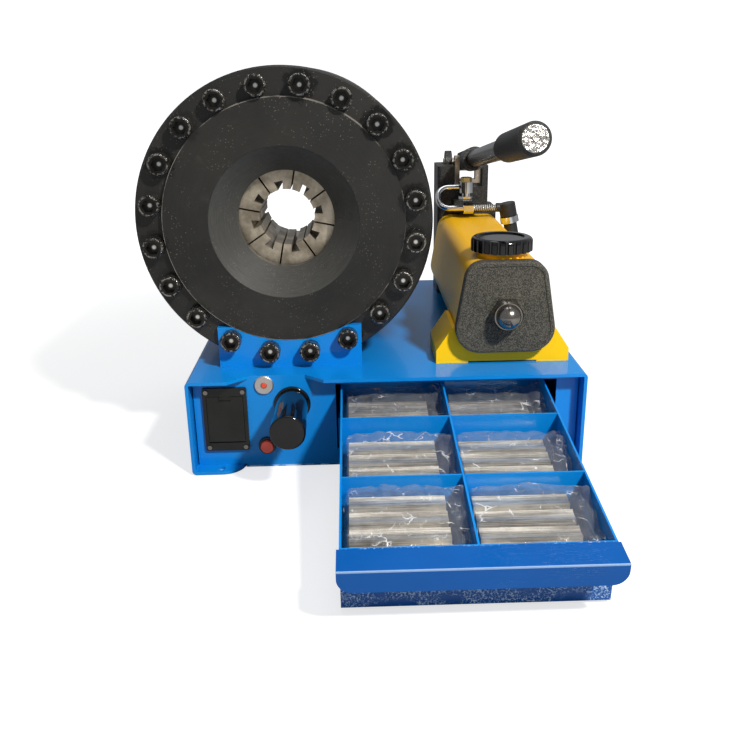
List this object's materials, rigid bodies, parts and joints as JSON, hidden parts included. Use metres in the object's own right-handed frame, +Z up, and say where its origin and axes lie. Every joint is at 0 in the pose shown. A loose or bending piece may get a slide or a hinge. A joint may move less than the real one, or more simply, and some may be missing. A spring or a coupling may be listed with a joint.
{
  "type": "hose crimping machine",
  "caption": "Bench hose crimping machine: round head whose wedge dies close on a hose, hand oil pump with lever, and a steel base with a die drawer and setting dial.",
  "frame": {"origin": "centre of the four foot holes, in the plane that the feet stand on", "axes": "+X to the operator's right, +Y to the back along the head's axis, +Z up"},
  "size_m": [0.388, 0.5977, 0.3445],
  "materials": {
    "blue_paint": "gloss",
    "black_steel": "satin",
    "black_oxide": "satin",
    "machined_steel": "machined",
    "die_steel": "ground",
    "spring_steel": "satin",
    "seal": "matte",
    "clear_film": "clear",
    "black_moulding": "satin",
    "gloss_black": "gloss",
    "red_cap": "satin",
    "red_lens": "gloss",
    "bright_metal": "polished",
    "yellow_paint": "gloss",
    "textured_black": "textured",
    "cast_black": "painted",
    "handle_steel": "satin",
    "grip_rubber": "matte",
    "brass": "satin",
    "braid": "braided",
    "hose_rubber": "matte"
  },
  "bodies": {
    "base": {"base_shell": "blue_paint", "front_panel": "blue_paint", "back_panel": "blue_paint", "drawer_rails": "blue_paint", "head_flange": "black_steel", "cylinder": "black_steel", "flange_screws": "black_oxide", "bracket_screws": "black_oxide", "front_bracket": "blue_paint", "rear_bracket": "blue_paint", "return_springs": "spring_steel", "battery_box": "black_moulding", "battery_screws": "bright_metal", "lamp_bezel": "bright_metal", "lamp_lens": "red_lens", "dial_collar": "gloss_black", "button_bezel": "gloss_black", "oil_tank": "yellow_paint", "tank_end_cap": "textured_black", "tie_rod": "machined_steel", "acorn_nut": "bright_metal", "tank_foot": "yellow_paint", "pump_body": "cast_black", "lever_pin": "machined_steel", "outlet_fitting": "bright_metal", "banjo_bolt": "brass", "pressure_pipe": "bright_metal", "pipe_nuts": "bright_metal", "pressure_hose": "braid", "hose_elbow": "hose_rubber", "hose_band": "bright_metal", "supply_hose": "hose_rubber"},
    "sill": {"sill_roller": "machined_steel"},
    "drawer": {"drawer_tray": "blue_paint", "drawer_front": "blue_paint", "long_divider": "blue_paint", "cross_dividers": "blue_paint", "spare_dies": "die_steel", "die_bags": "clear_film"},
    "piston": {"piston": "machined_steel", "piston_seal": "seal"},
    "handle": {"pump_lever": "cast_black", "handle_tube": "handle_steel", "handle_grip": "grip_rubber", "handle_plug": "bright_metal"},
    "plunger": {"plunger": "machined_steel"},
    "filler_cap": {"filler_cap": "gloss_black"},
    "release_valve": {"release_valve": "gloss_black"},
    "dial_knob": {"dial_knob": "gloss_black"},
    "dial_spindle": {"dial_spindle": "machined_steel"},
    "button": {"button_cap": "red_cap"},
    "battery_door": {"battery_door": "black_moulding"},
    "master_die_1": {"master_die_1": "machined_steel"},
    "master_die_2": {"master_die_2": "machined_steel"},
    "master_die_3": {"master_die_3": "machined_steel"},
    "master_die_4": {"master_die_4": "machined_steel"},
    "master_die_5": {"master_die_5": "machined_steel"},
    "master_die_6": {"master_die_6": "machined_steel"},
    "master_die_7": {"master_die_7": "machined_steel"},
    "master_die_8": {"master_die_8": "machined_steel"}
  },
  "joints": [
    {"name": "drawer_tilt", "type": "hinge", "parent": "base", "child": "sill", "pos_m": [0.05005, -0.157, 0.0235], "axis": [-1, 0, 0], "range_deg": [0, 6.62]},
    {"name": "drawer_slide", "type": "slide", "parent": "sill", "child": "drawer", "axis": [0, 0.9934, 0.1149], "range_m": [0, 0.222]},
    {"name": "piston_slide", "type": "slide", "parent": "base", "child": "piston", "axis": [0, 1, 0], "range_m": [-0.00429, 0.04289]},
    {"name": "pump_handle", "type": "hinge", "parent": "base", "child": "handle", "pos_m": [0.106, 0.148, 0.236], "axis": [-1, 0, 0], "range_deg": [-6, 30]},
    {"name": "plunger_slide", "type": "slide", "parent": "base", "child": "plunger", "axis": [0, 0, 1], "range_m": [-0.003, 0.0145]},
    {"name": "filler_cap_turn", "type": "hinge", "parent": "base", "child": "filler_cap", "pos_m": [0.106, -0.12, 0.1865], "axis": [0, 0, 1], "range_deg": [0, 720]},
    {"name": "release_valve_turn", "type": "hinge", "parent": "base", "child": "release_valve", "pos_m": [0.139, 0.136, 0.122], "axis": [1, 0, 0], "range_deg": [0, 540]},
    {"name": "dial_turn", "type": "hinge", "parent": "base", "child": "dial_knob", "pos_m": [-0.0839, -0.213, 0.061], "axis": [0, 1, 0], "range_deg": [-1081, 1081]},
    {"name": "dial_spindle_slide", "type": "slide", "parent": "base", "child": "dial_spindle", "axis": [0, 1, 0], "range_m": [-0.003, 0.003]},
    {"name": "button_press", "type": "slide", "parent": "base", "child": "button", "axis": [0, 1, 0], "range_m": [0, 0.003], "stiffness_N_per_m": 400},
    {"name": "battery_door_hinge", "type": "hinge", "parent": "base", "child": "battery_door", "pos_m": [-0.1434, -0.1669, 0.0272], "axis": [1, 0, 0], "range_deg": [0, 95]},
    {"name": "die_1_slide", "type": "slide", "parent": "base", "child": "master_die_1", "axis": [0.0824, 0.9063, -0.4145], "range_m": [-0.00239, 0.02368]},
    {"name": "die_2_slide", "type": "slide", "parent": "base", "child": "master_die_2", "axis": [0.3514, 0.9063, -0.2348], "range_m": [-0.00239, 0.02368]},
    {"name": "die_3_slide", "type": "slide", "parent": "base", "child": "master_die_3", "axis": [0.4145, 0.9063, 0.0824], "range_m": [-0.00239, 0.02368]},
    {"name": "die_4_slide", "type": "slide", "parent": "base", "child": "master_die_4", "axis": [0.2348, 0.9063, 0.3514], "range_m": [-0.00239, 0.02368]},
    {"name": "die_5_slide", "type": "slide", "parent": "base", "child": "master_die_5", "axis": [-0.0824, 0.9063, 0.4145], "range_m": [-0.00239, 0.02368]},
    {"name": "die_6_slide", "type": "slide", "parent": "base", "child": "master_die_6", "axis": [-0.3514, 0.9063, 0.2348], "range_m": [-0.00239, 0.02368]},
    {"name": "die_7_slide", "type": "slide", "parent": "base", "child": "master_die_7", "axis": [-0.4145, 0.9063, -0.0824], "range_m": [-0.00239, 0.02368]},
    {"name": "die_8_slide", "type": "slide", "parent": "base", "child": "master_die_8", "axis": [-0.2348, 0.9063, -0.3514], "range_m": [-0.00239, 0.02368]}
  ],
  "couplings": [
    {"joint": "drawer_tilt", "follows": "drawer_slide", "rad_per_m": 0.51888},
    {"joint": "plunger_slide", "follows": "pump_handle", "m_per_rad": 0.0269},
    {"joint": "dial_turn", "follows": "dial_spindle_slide", "rad_per_m": 6283.2},
    {"joint": "die_1_slide", "follows": "piston_slide", "ratio": 0.55169},
    {"joint": "die_2_slide", "follows": "piston_slide", "ratio": 0.55169},
    {"joint": "die_3_slide", "follows": "piston_slide", "ratio": 0.55169},
    {"joint": "die_4_slide", "follows": "piston_slide", "ratio": 0.55169},
    {"joint": "die_5_slide", "follows": "piston_slide", "ratio": 0.55169},
    {"joint": "die_6_slide", "follows": "piston_slide", "ratio": 0.55169},
    {"joint": "die_7_slide", "follows": "piston_slide", "ratio": 0.55169},
    {"joint": "die_8_slide", "follows": "piston_slide", "ratio": 0.55169}
  ]
}
